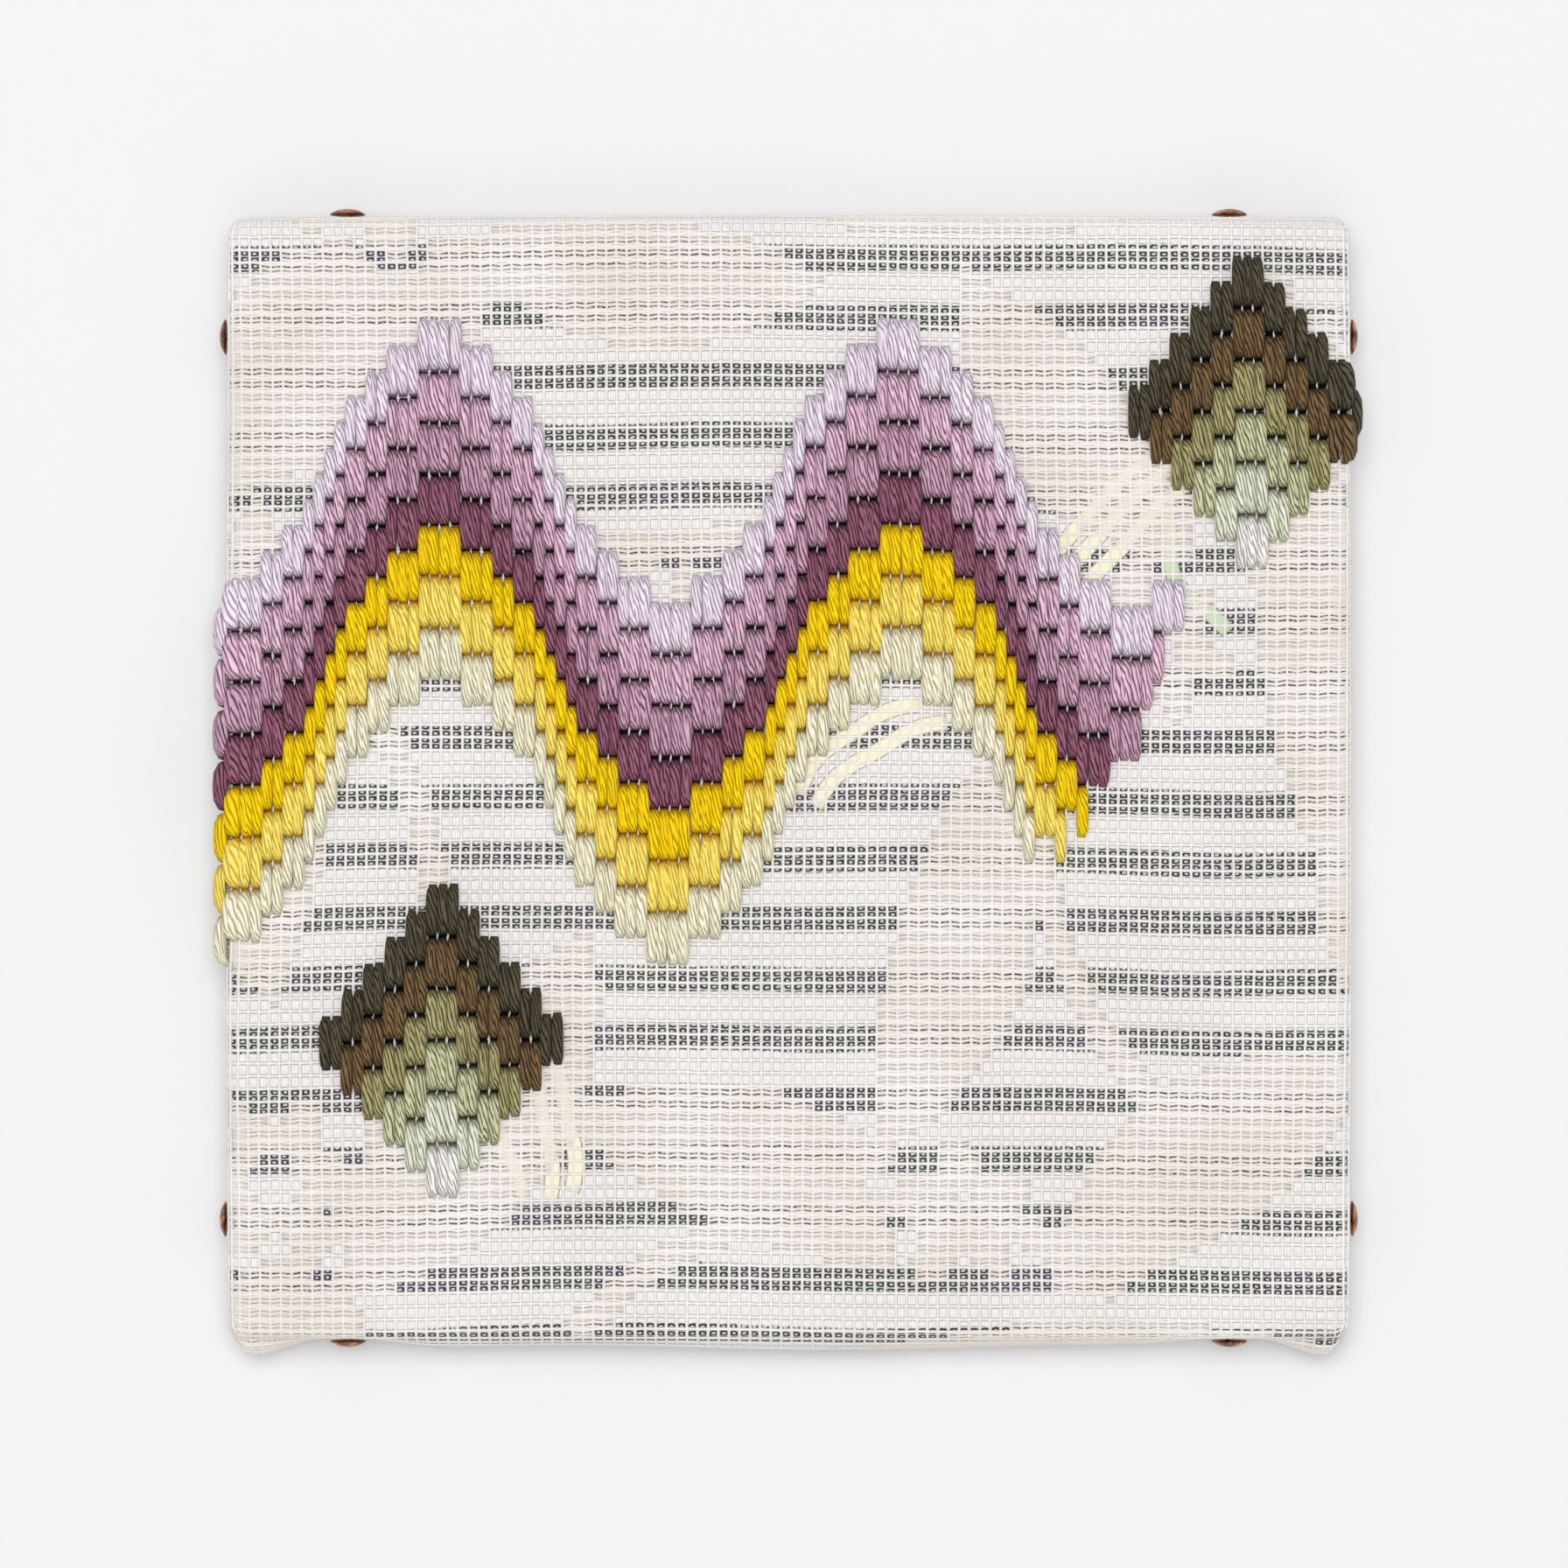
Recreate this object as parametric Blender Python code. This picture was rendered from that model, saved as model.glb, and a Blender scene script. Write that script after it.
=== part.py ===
# Embroidered lace panel on a stretcher frame. A striped ground cloth and a net lace
# are stretched over four mitred bars and tacked at the sides, and wool flame stitch
# is worked through the lace.
# Metres, +Z up. The panel hangs on a wall at Y = 0 and faces -Y. The origin lies on
# the back face of the top bar, at the middle of its length.

import bmesh
import bpy
import numpy as np

# Stretcher frame
FRAME_SIDE = 0.2540
BAR_WIDTH = 0.0380
BAR_DEPTH = 0.0190
BAR_CORNER_RADIUS = 0.0024
BAR_EDGE_RADIUS = 0.0020
BAR_FRONT_FALL = 0.0015
GAP = 0.0003

# Ground cloth and lace, each wrapped over the one below
CLOTH_THICKNESS = 0.0010
CLOTH_END = 0.0010
GROUND_BOW = 0.0003
LACE_BOW = 0.0006
CORNER_STEPS = 4
EDGE_STEPS = 3
SIDE_STEPS = 6

# Wool stitches, counted in the columns and rows of the lace's net
COLUMN = 0.00240
ROW = 0.00296
COLUMNS = 107
ROWS = 87
STITCH_ROWS = 4
STEP_ROWS = 2
WOOL_HEIGHT = 0.0022
RISER = 0.0005

# Section of a course of stitches: share of the stitch's length, share of its height
COURSE_SECTION = ((0.00, 0.0), (0.06, 0.7), (0.50, 1.0), (0.94, 0.7), (1.00, 0.0))

# Flame stitch: columns in each step from a valley up to a peak, and in the turns
FLAME_RISE = (3, 2, 2, 1, 1, 1, 1, 2, 2, 3)
FLAME_TURN = 4
FLAME_FIRST_COLUMN = -4
FLAME_PEAK_ROW = 8

# Courses of the flame band from the top: colour name, colour, last column
FLAME_COURSES = (
    ("lilac", (0.70, 0.56, 0.78), 90),
    ("light_mauve", (0.47, 0.26, 0.42), 88),
    ("mauve", (0.38, 0.19, 0.33), 86),
    ("plum", (0.14, 0.045, 0.09), 83),
    ("gold", (0.82, 0.52, 0.01), 81),
    ("yellow", (0.94, 0.68, 0.10), 79),
    ("cream", (0.88, 0.82, 0.60), 76),
)

# Courses of a lozenge from the top, one fewer step each side every course
LOZENGE_COURSES = (
    ("dark_green", (0.040, 0.036, 0.024)),
    ("brown", (0.090, 0.050, 0.022)),
    ("mid_green", (0.20, 0.20, 0.085)),
    ("light_green", (0.40, 0.48, 0.24)),
    ("pale_green", (0.56, 0.68, 0.44)),
    ("white", (0.80, 0.78, 0.72)),
)
LOZENGE_MIDDLE = 3
LOZENGE_STEP = 2

# Lozenges: name, first column of the middle group, top row
LOZENGES = (("lozenge_left", 19, 52), ("lozenge_right", 96, 3))

# Copper tacks, two on each side
TACK_HEAD_RADIUS = 0.0041
TACK_HEAD_RISE = 0.0015
TACK_SHANK_RADIUS = 0.0008
TACK_LENGTH = 0.0120
TACK_FROM_CENTRE = 0.1020
TACK_DEPTH = 0.0100
TACK_SIDES = 12
HOLE_SIDES = 8
HOLE_CLEARANCE = 0.0003

FRAME_HALF = FRAME_SIDE / 2
CENTRE_Z = BAR_WIDTH / 2 - FRAME_HALF
GROUND_INNER = GAP
GROUND_OUTER = GROUND_INNER + CLOTH_THICKNESS
LACE_INNER = GROUND_OUTER + GAP
LACE_OUTER = LACE_INNER + CLOTH_THICKNESS
LACE_HALF = FRAME_HALF + LACE_OUTER
LACE_FRONT = BAR_DEPTH + LACE_OUTER
LACE_EDGE_RADIUS = BAR_EDGE_RADIUS + LACE_OUTER
QUARTER_TURN = np.pi / 2


def material(name, colour, roughness, metallic=0.0):
    finish = bpy.data.materials.new(name)
    finish.use_nodes = True
    shader = finish.node_tree.nodes["Principled BSDF"]
    shader.inputs["Base Color"].default_value = (*colour, 1.0)
    shader.inputs["Roughness"].default_value = roughness
    shader.inputs["Metallic"].default_value = metallic
    finish.diffuse_color = (*colour, 1.0)
    return finish


def loft(rings):
    """One closed mesh from rings of points with the same count, its two ends capped."""
    rings = np.asarray(rings, float)
    count, around = rings.shape[:2]
    shape = bmesh.new()
    points = [[shape.verts.new(point) for point in ring] for ring in rings]
    for lower, upper in zip(points, points[1:]):
        for here in range(around):
            after = (here + 1) % around
            shape.faces.new((lower[here], lower[after], upper[after], upper[here]))
    shape.faces.new(points[0])
    shape.faces.new(points[count - 1])
    bmesh.ops.remove_doubles(shape, verts=shape.verts, dist=1e-7)
    bmesh.ops.recalc_face_normals(shape, faces=shape.faces)
    return shape


def add_object(name, shape, finish):
    """The shape, modelled about the panel's centre, as an object hung at its place."""
    mesh = bpy.data.meshes.new(name)
    shape.to_mesh(mesh)
    shape.free()
    mesh.materials.append(finish)
    piece = bpy.data.objects.new(name, mesh)
    piece.location = (0, 0, CENTRE_Z)
    bpy.context.scene.collection.objects.link(piece)
    return piece


def turned_quarters(points, quarter):
    """Points turned about the panel's centre, in its plane, by quarter turns."""
    x, y, z = np.moveaxis(np.asarray(points, float), -1, 0)
    for _ in range(quarter):
        x, z = -z, x
    return np.stack([x, y, z], axis=-1)


def bar_shape(quarter):
    """A bar, its mitres held half a gap back from the corners' diagonals."""
    mitre = GAP / 2 * np.sqrt(2)
    turn = np.linspace(0, QUARTER_TURN, EDGE_STEPS)
    edge_inset = BAR_EDGE_RADIUS * (1 - np.cos(turn))
    edge_depth = BAR_DEPTH - BAR_EDGE_RADIUS * (1 - np.sin(turn))
    section = [(0, 0), *zip(edge_inset, edge_depth)]
    section += [(BAR_WIDTH, BAR_DEPTH - BAR_FRONT_FALL), (BAR_WIDTH, 0)]
    half_corner = np.linspace(QUARTER_TURN / 2, QUARTER_TURN, CORNER_STEPS // 2 + 1)
    right_end = []
    for angle in half_corner:
        ring = []
        for inset, depth in section:
            radius = max(BAR_CORNER_RADIUS - inset, 0)
            centre = FRAME_HALF - inset - radius
            z = centre + radius * np.sin(angle)
            x = min(centre + radius * np.cos(angle), z - mitre)
            ring.append((x, -depth, z))
        right_end.append(ring)
    right_end = np.array(right_end)
    left_end = right_end[::-1] * (-1, 1, 1)
    return loft(turned_quarters(np.concatenate([right_end, left_end]), quarter))


def square_ring(half, corner, depth, bow):
    """A square of rounded corners whose straight sides bow outwards a little."""
    straight = half - corner
    angles = np.linspace(0, QUARTER_TURN, CORNER_STEPS + 1)
    arc = np.stack([straight + corner * np.cos(angles), straight + corner * np.sin(angles)], 1)
    along = np.linspace(straight, -straight, SIDE_STEPS + 1)[1:-1]
    side = np.stack([along, half + bow * (1 - (along / straight) ** 2)], 1)
    quarter = np.concatenate([arc, side])
    flat = np.stack([quarter[:, 0], np.full(len(quarter), -depth), quarter[:, 1]], 1)
    return np.concatenate([turned_quarters(flat, turn) for turn in range(4)])


def skin_rings(offset, bow):
    """Rings of a wrapped surface this far off the bars, from the wall to the face."""
    half = FRAME_HALF + offset
    front = BAR_DEPTH + offset
    edge = BAR_EDGE_RADIUS + offset
    corner = BAR_CORNER_RADIUS + offset
    rings = [square_ring(half, corner, CLOTH_END, bow)]
    for turn in np.linspace(0, QUARTER_TURN, EDGE_STEPS + 1):
        inset = edge * (1 - np.cos(turn))
        depth = front - edge * (1 - np.sin(turn))
        rings.append(square_ring(half - inset, corner - inset, depth, bow * np.cos(turn)))
    return rings


def wrapped_cloth(inner, outer, bow):
    """A sheet over the face and the four sides, as one tray with a rounded rim."""
    return loft(skin_rings(inner, bow)[::-1] + skin_rings(outer, bow))


def on_lace(across, up, height):
    """A point this high off the lace; past the flat face it goes over the side edge."""
    flat = LACE_HALF - LACE_EDGE_RADIUS
    past = np.abs(across) - flat
    turn = np.clip(past / LACE_EDGE_RADIUS, 0, QUARTER_TURN)
    down = np.maximum(past - LACE_EDGE_RADIUS * QUARTER_TURN, 0)
    radius = LACE_EDGE_RADIUS + height
    bow = LACE_BOW * np.sin(turn) * (1 - (up / LACE_HALF) ** 2)
    x = np.minimum(np.abs(across), flat) + radius * np.sin(turn) + bow
    y = LACE_EDGE_RADIUS - LACE_FRONT - radius * np.cos(turn) + down
    return x * np.sign(across), y, up


def column_edge(column):
    return (column - COLUMNS / 2) * COLUMN


def row_edge(row):
    return (ROWS / 2 - row) * ROW


def flame_groups():
    """Groups of the flame band's columns from the left: first column, columns, step."""
    top = len(FLAME_RISE) + 1
    rising = list(zip(FLAME_RISE, range(1, top)))
    wave = [(FLAME_TURN, 0), *rising, (FLAME_TURN, top), *rising[::-1]]
    groups, column = [], FLAME_FIRST_COLUMN
    while column < COLUMNS:
        for columns, step in wave:
            groups.append((column, columns, step))
            column += columns
    return groups


def flame_course(index, last_column):
    """(first column, end column, top row) for each group of one colour's course."""
    steps_to_peak = len(FLAME_RISE) + 1
    course = []
    for first, columns, step in flame_groups():
        end = min(first + columns, last_column + 1)
        if end > first:
            drop = (steps_to_peak - step) * STEP_ROWS + index * STITCH_ROWS
            course.append((first, end, FLAME_PEAK_ROW + drop))
    return course


def lozenge_course(index, middle_column, top_row):
    """The same for one course of a lozenge, stepped down evenly to both sides."""
    reach = len(LOZENGE_COURSES) - 1 - index
    course = []
    for group in range(-reach, reach + 1):
        first = middle_column + group * LOZENGE_STEP
        end = first + LOZENGE_STEP
        if group == 0:
            end = first + LOZENGE_MIDDLE
        elif group > 0:
            first += LOZENGE_MIDDLE - LOZENGE_STEP
            end = first + LOZENGE_STEP
        row = top_row + abs(group) * STEP_ROWS + index * STITCH_ROWS
        course.append((first, end, row))
    return course


def stepped_edge(course, side, rows_down):
    """The course's top (side 1) or bottom (side -1) edge, half a gap inside its outline."""
    clear = GAP / 2
    edge = []
    for number, (first, end, row) in enumerate(course):
        left = column_edge(first) + RISER / 2
        right = column_edge(end) - RISER / 2
        if number > 0:
            left += np.sign(course[number - 1][2] - row) * side * clear
        else:
            left += clear
        if number < len(course) - 1:
            right += np.sign(row - course[number + 1][2]) * side * clear
        else:
            right -= clear
        up = row_edge(row + rows_down) - side * clear
        inner = [column_edge(c) for c in range(first + 1, end) if on_edge_turn(c)]
        edge += [(across, up) for across in (left, *inner, right)]
    return np.array(edge)


def on_edge_turn(column):
    """Whether a column boundary lies where the stitches bend over the panel's side."""
    return abs(column_edge(column)) > LACE_HALF - LACE_EDGE_RADIUS - COLUMN


def course_shape(course):
    """A course of stitches as one ridged ribbon, stepped as its groups are."""
    top = stepped_edge(course, 1, 0)
    bottom = stepped_edge(course, -1, STITCH_ROWS)
    rings = []
    for share, height in COURSE_SECTION:
        across, up = (bottom + (top - bottom) * share).T
        rings.append(np.stack(on_lace(across, up, GAP + height * WOOL_HEIGHT), 1))
    return loft(np.swapaxes(rings, 0, 1))


def turned_profile(profile, sides):
    """A shape turned about the panel's upward axis: height from the edge, radius."""
    angles = np.linspace(0, 2 * np.pi, sides, endpoint=False)
    rings = []
    for height, radius in profile:
        z = np.full(sides, height)
        rings.append(np.stack([radius * np.cos(angles), radius * np.sin(angles), z], 1))
    return np.array(rings)


def tack_seat():
    """Height of a tack's underside above the panel's centre, clear of the lace."""
    return LACE_HALF + LACE_BOW * (1 - (TACK_FROM_CENTRE / LACE_HALF) ** 2) + GAP


def tack_rings(quarter, side):
    """A tack with a domed head and a tapered shank, driven in towards the centre."""
    seat = tack_seat()
    rise, radius, shank = TACK_HEAD_RISE, TACK_HEAD_RADIUS, TACK_SHANK_RADIUS
    profile = (
        (seat - TACK_LENGTH, shank * 0.15),
        (seat - TACK_LENGTH * 0.75, shank * 0.8),
        (seat, shank),
        (seat, radius * 0.96),
        (seat + rise * 0.2, radius),
        (seat + rise * 0.7, radius * 0.75),
        (seat + rise, radius * 0.3),
    )
    rings = turned_profile(profile, TACK_SIDES)
    rings += (side * TACK_FROM_CENTRE, -TACK_DEPTH, 0)
    return turned_quarters(rings, quarter)


def hole_rings(quarter, side):
    """The drilled hole that a tack's shank goes into, with clearance all round."""
    seat = tack_seat()
    radius = TACK_SHANK_RADIUS + HOLE_CLEARANCE
    bottom = seat - TACK_LENGTH - HOLE_CLEARANCE * 2
    rings = turned_profile(((bottom, radius), (seat + radius, radius)), HOLE_SIDES)
    rings += (side * TACK_FROM_CENTRE, -TACK_DEPTH, 0)
    return turned_quarters(rings, quarter)


def holes_cutter():
    """All the tacks' holes as one hidden cutter."""
    cutter = bmesh.new()
    for quarter in range(4):
        for side in (-1, 1):
            hole = loft(hole_rings(quarter, side))
            scratch = bpy.data.meshes.new("hole")
            hole.to_mesh(scratch)
            hole.free()
            cutter.from_mesh(scratch)
            bpy.data.meshes.remove(scratch)
    piece = add_object("tack_holes", cutter, material("hole", (0.1, 0.1, 0.1), 0.8))
    piece.hide_render = True
    piece.display_type = "WIRE"
    return piece


def drill(piece, cutter):
    cut = piece.modifiers.new("tack_holes", "BOOLEAN")
    cut.operation = "DIFFERENCE"
    cut.solver = "EXACT"
    cut.object = cutter


def make_frame(cutter):
    wood = material("pine", (0.62, 0.43, 0.25), 0.6)
    for quarter, side in enumerate(("top", "left", "bottom", "right")):
        drill(add_object(f"stretcher_{side}", bar_shape(quarter), wood), cutter)


def make_cloths(cutter):
    cotton = material("ground_cotton", (0.72, 0.71, 0.69), 0.9)
    ground = wrapped_cloth(GROUND_INNER, GROUND_OUTER, GROUND_BOW)
    drill(add_object("ground_cloth", ground, cotton), cutter)
    thread = material("lace_thread", (0.86, 0.80, 0.72), 0.85)
    lace = wrapped_cloth(LACE_INNER, LACE_OUTER, LACE_BOW)
    drill(add_object("net_lace", lace, thread), cutter)


def make_flame_band():
    for index, (colour_name, colour, last_column) in enumerate(FLAME_COURSES):
        name = f"flame_{colour_name}"
        shape = course_shape(flame_course(index, last_column))
        add_object(name, shape, material(name, colour, 0.75))


def make_lozenges():
    for name, middle_column, top_row in LOZENGES:
        for index, (colour_name, colour) in enumerate(LOZENGE_COURSES):
            shape = course_shape(lozenge_course(index, middle_column, top_row))
            wool = material(f"{name}_{colour_name}", colour, 0.75)
            add_object(f"{name}_{colour_name}", shape, wool)


def make_tacks():
    copper = material("copper", (0.72, 0.30, 0.14), 0.35, 1.0)
    for quarter, place in enumerate(("top", "left", "bottom", "right")):
        for number, side in enumerate((-1, 1), 1):
            name = f"tack_{place}_{number}"
            add_object(name, loft(tack_rings(quarter, side)), copper)


def main():
    for old in list(bpy.data.objects):
        bpy.data.objects.remove(old)
    cutter = holes_cutter()
    make_frame(cutter)
    make_cloths(cutter)
    make_flame_band()
    make_lozenges()
    make_tacks()


main()
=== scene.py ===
import bpy
import numpy as np
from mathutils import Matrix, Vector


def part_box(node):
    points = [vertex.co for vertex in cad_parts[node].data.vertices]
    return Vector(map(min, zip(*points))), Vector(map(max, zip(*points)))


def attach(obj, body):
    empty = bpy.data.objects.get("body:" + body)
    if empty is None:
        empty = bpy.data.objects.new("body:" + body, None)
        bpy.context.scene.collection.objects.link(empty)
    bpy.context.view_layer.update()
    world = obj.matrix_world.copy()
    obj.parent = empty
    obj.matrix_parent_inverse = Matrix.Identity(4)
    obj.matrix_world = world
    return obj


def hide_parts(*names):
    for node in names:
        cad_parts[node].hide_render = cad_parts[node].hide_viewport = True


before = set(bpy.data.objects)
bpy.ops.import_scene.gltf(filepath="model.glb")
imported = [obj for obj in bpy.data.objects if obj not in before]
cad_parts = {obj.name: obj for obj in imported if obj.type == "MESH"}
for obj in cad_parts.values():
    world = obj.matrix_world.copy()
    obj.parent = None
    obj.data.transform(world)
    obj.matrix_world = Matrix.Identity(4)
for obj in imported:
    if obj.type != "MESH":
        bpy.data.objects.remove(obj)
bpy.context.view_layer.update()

chance = np.random.default_rng(2107)

# The panel, in metres. A layer's offset is the distance of its middle from the bars.
panel = {
    "flat": 0.1250,          # half of the flat face; past it the layers turn over the rim
    "rim": 0.0020,           # radius of the bars' outer edge
    "rimDepth": 0.0170,      # centre of the rim's turn, measured from the wall
    "cornerPower": 6.0,      # how square the turn stays at the four corners
    "bow": 0.0006,           # outward bow of the sides at their middle
    "bulgePower": 0.8,       # under 1, the bulge between rim and wall is fuller than a half wave
    "flare": 0.0004,         # how far the cloths stand off the bars' sides
    "flareBelow": 0.0030,    # the same along the bottom, where more cloth is turned in
    "tackPlace": 0.1020,     # the tacks' distance from the middle, where the cloth is held
    "tackReach": 0.0140,
    "flareWaves": 52.0,      # radians a metre of the slow wave along the bottom, its start
    "flareStart": 1.0,       # and its share of the flare
    "flareShare": 0.18,
    "fold": 0.0022,          # how far the folded lower corners stand out
    "foldPlace": 0.123,      # the folds' distance from the middle, and their width
    "foldReach": 0.007,
    "hem": 0.0006,           # the cloths' edges stay this far from the wall
    "groundOffset": 0.0011,
    "laceOffset": 0.0021,
    "column": 0.00240,       # one cell of the lace's net
    "row": 0.00296,
    "columns": 107,          # cells across and down the stitched face
    "rows": 87,
}
lowest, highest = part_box("net_lace")
centreX = (lowest[0] + highest[0]) / 2
centreZ = (lowest[2] + highest[2]) / 2
sideHalf = (highest[0] - lowest[0]) / 2


# A point of a wrapped cloth. Inside the flat square it keeps its place. Past it, the excess
# (a rounded maximum of both excesses) turns a quarter circle round the rim, then runs down
# the side towards the wall, bulging a little. At a corner the side's run is gathered: it is
# shortened by the square of the larger excess over the rounded one, and it never passes the
# hem. Height is square to the cloth's middle.
def onPanel(across, up, offset, height=0.0):
    overX = np.maximum(np.abs(across) - panel["flat"], 0)
    overZ = np.maximum(np.abs(up) - panel["flat"], 0)
    power = panel["cornerPower"]
    over = (overX ** power + overZ ** power) ** (1 / power)
    heading = np.arctan2(overZ, overX)
    radius = panel["rim"] + offset
    turn = np.minimum(over / radius, np.pi / 2)
    gathered = (np.maximum(overX, overZ) / np.maximum(over, 1e-9)) ** 2
    down = np.maximum(over - radius * np.pi / 2, 0) * gathered
    down = np.minimum(down, panel["rimDepth"] - panel["hem"])
    reach = (radius + height) * np.sin(turn)
    bow = panel["bow"] * np.sin(turn)
    share = np.sin(np.pi * np.minimum(down / panel["rimDepth"], 1)) ** panel["bulgePower"]
    held = np.exp(-((np.abs(across) - panel["tackPlace"]) / panel["tackReach"]) ** 2)
    fold = panel["fold"] * np.exp(-((np.abs(across) - panel["foldPlace"]) / panel["foldReach"]) ** 2)
    wave = np.sin(panel["flareWaves"] * across + panel["flareStart"])
    wave = 1 - panel["flareShare"] + panel["flareShare"] * wave
    below = panel["flareBelow"] * wave * (1 - held) + fold
    stand = np.where(up < 0, below, panel["flare"])
    bowX = bow * (1 - np.minimum(np.abs(up) / sideHalf, 1) ** 2) + share * panel["flare"]
    bowZ = bow * (1 - np.minimum(np.abs(across) / sideHalf, 1) ** 2) + share * stand
    x = np.minimum(np.abs(across), panel["flat"]) + (reach + bowX) * np.cos(heading)
    z = np.minimum(np.abs(up), panel["flat"]) + (reach + bowZ) * np.sin(heading)
    y = down - panel["rimDepth"] - (radius + height) * np.cos(turn)
    return np.stack([centreX + np.sign(across) * x, y, centreZ + np.sign(up) * z], axis=-1)


# Long shallow waves that the stretched threads and the stitches follow together: each is a
# height in metres times the sine of radians a metre.
def drifted(across, up):
    sideways = 0.00050 * np.sin(24 * up + 0.7) + 0.00022 * np.sin(61 * up - 17 * across)
    upwards = 0.00055 * np.sin(20 * across + 2.1) + 0.00025 * np.sin(52 * across + 23 * up)
    return across + sideways, up + upwards


def columnEdge(column):
    return (column - panel["columns"] / 2) * panel["column"]


def rowEdge(row):
    return (panel["rows"] / 2 - row) * panel["row"]


# Rings carried along many paths at once. A path is a row of points: across, up and off the
# cloth. Each ring lies square to its path: the point, plus the cosine times the width along
# the cloth, plus the sine times the height away from it. A power under 1 squares the ring.
def carried(path, wide, high, sides, offset, power=1.0):
    run = np.gradient(path, axis=1)
    run /= np.linalg.norm(run, axis=-1, keepdims=True)
    side = np.stack([run[..., 1], -run[..., 0], np.zeros(run.shape[:2])], axis=-1)
    side /= np.linalg.norm(side, axis=-1, keepdims=True)
    lift = np.cross(side, run)
    angle = np.pi / 2 + 2 * np.pi * np.arange(sides) / sides
    cosine = np.sign(np.cos(angle)) * np.abs(np.cos(angle)) ** power
    sine = np.sign(np.sin(angle)) * np.abs(np.sin(angle)) ** power
    wide = np.broadcast_to(wide, path.shape[:2])[..., None, None]
    high = np.broadcast_to(high, path.shape[:2])[..., None, None]
    ring = path[:, :, None] + side[:, :, None] * wide * cosine[:, None]
    ring = ring + lift[:, :, None] * high * sine[:, None]
    return onPanel(ring[..., 0], ring[..., 1], offset, ring[..., 2])


# Faces of closed tubes whose points are numbered by tube, ring and side.
def tubeFaces(index):
    after = np.roll(index, -1, axis=2)
    walls = np.stack([index[:, :-1], index[:, 1:], after[:, 1:], after[:, :-1]], axis=-1)
    caps = np.concatenate([index[:, 0], index[:, -1, ::-1]])
    return [walls.reshape(-1, 4), caps]


# The same corners' places round and along their tube, each from 0 to 1.
def tubeUv(count, rings, sides):
    along, around = np.meshgrid(np.arange(rings - 1), np.arange(sides), indexing="ij")
    u = np.stack([around, around, around + 1, around + 1], axis=-1) / sides
    v = np.stack([along, along + 1, along + 1, along], axis=-1) / (rings - 1)
    walls = np.tile(np.stack([u, v], axis=-1), (count, 1, 1, 1, 1))
    caps = np.zeros((2, count, sides, 2))
    caps[1, ..., 1] = 1
    return walls, caps


# A sheet's faces, its points numbered by row and column.
def gridFaces(rows, columns):
    index = np.arange(rows * columns).reshape(rows, columns)
    corners = [index[:-1, :-1], index[:-1, 1:], index[1:, 1:], index[1:, :-1]]
    return np.stack(corners, -1).reshape(-1, 4)


def makePiece(name, points, faces, finish, replaces=(), uv=None):
    mesh = bpy.data.meshes.new(name)
    points = np.ascontiguousarray(points, np.float32).reshape(-1, 3)
    corners = np.concatenate([face.ravel() for face in faces]).astype(np.int32)
    sizes = np.concatenate([np.full(len(face), face.shape[1]) for face in faces])
    mesh.vertices.add(len(points))
    mesh.vertices.foreach_set("co", points.ravel())
    mesh.loops.add(len(corners))
    mesh.loops.foreach_set("vertex_index", corners)
    mesh.polygons.add(len(sizes))
    mesh.polygons.foreach_set("loop_start", (np.cumsum(sizes) - sizes).astype(np.int32))
    mesh.polygons.foreach_set("use_smooth", np.ones(len(sizes), bool))
    mesh.update(calc_edges=True)
    if uv is not None:
        layer = mesh.uv_layers.new(name="thread")
        layer.data.foreach_set("uv", np.ascontiguousarray(uv, np.float32).ravel())
    mesh.materials.append(finish)
    piece = bpy.data.objects.new(name, mesh)
    bpy.context.scene.collection.objects.link(piece)
    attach(piece, "root")
    if replaces:
        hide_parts(*replaces)
    print(f"  {name}: {len(points)} points, {len(sizes)} faces")
    return piece


# One output of a node. Sums and products of such outputs add Math nodes.
class Wire:
    def __init__(self, finish, socket):
        self.finish = finish
        self.socket = socket

    def math(self, operation, *values):
        return self.finish.node("Math", {"operation": operation}, dict(enumerate(values)))

    def __add__(self, other):
        return self.math("ADD", self, other)

    def __radd__(self, other):
        return self.math("ADD", other, self)

    def __sub__(self, other):
        return self.math("SUBTRACT", self, other)

    def __rsub__(self, other):
        return self.math("SUBTRACT", other, self)

    def __mul__(self, other):
        return self.math("MULTIPLY", self, other)

    def __rmul__(self, other):
        return self.math("MULTIPLY", other, self)

    def __truediv__(self, other):
        return self.math("DIVIDE", self, other)

    def __abs__(self):
        return self.math("ABSOLUTE", self)

    def sine(self):
        return self.math("SINE", self)

    def floor(self):
        return self.math("FLOOR", self)

    # 0 below the first value and 1 above the second, smooth between them
    def rise(self, low, high):
        settings = {"interpolation_type": "SMOOTHSTEP"}
        sockets = {"Value": self, "From Min": low, "From Max": high}
        return self.finish.node("MapRange", settings, sockets)


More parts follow.
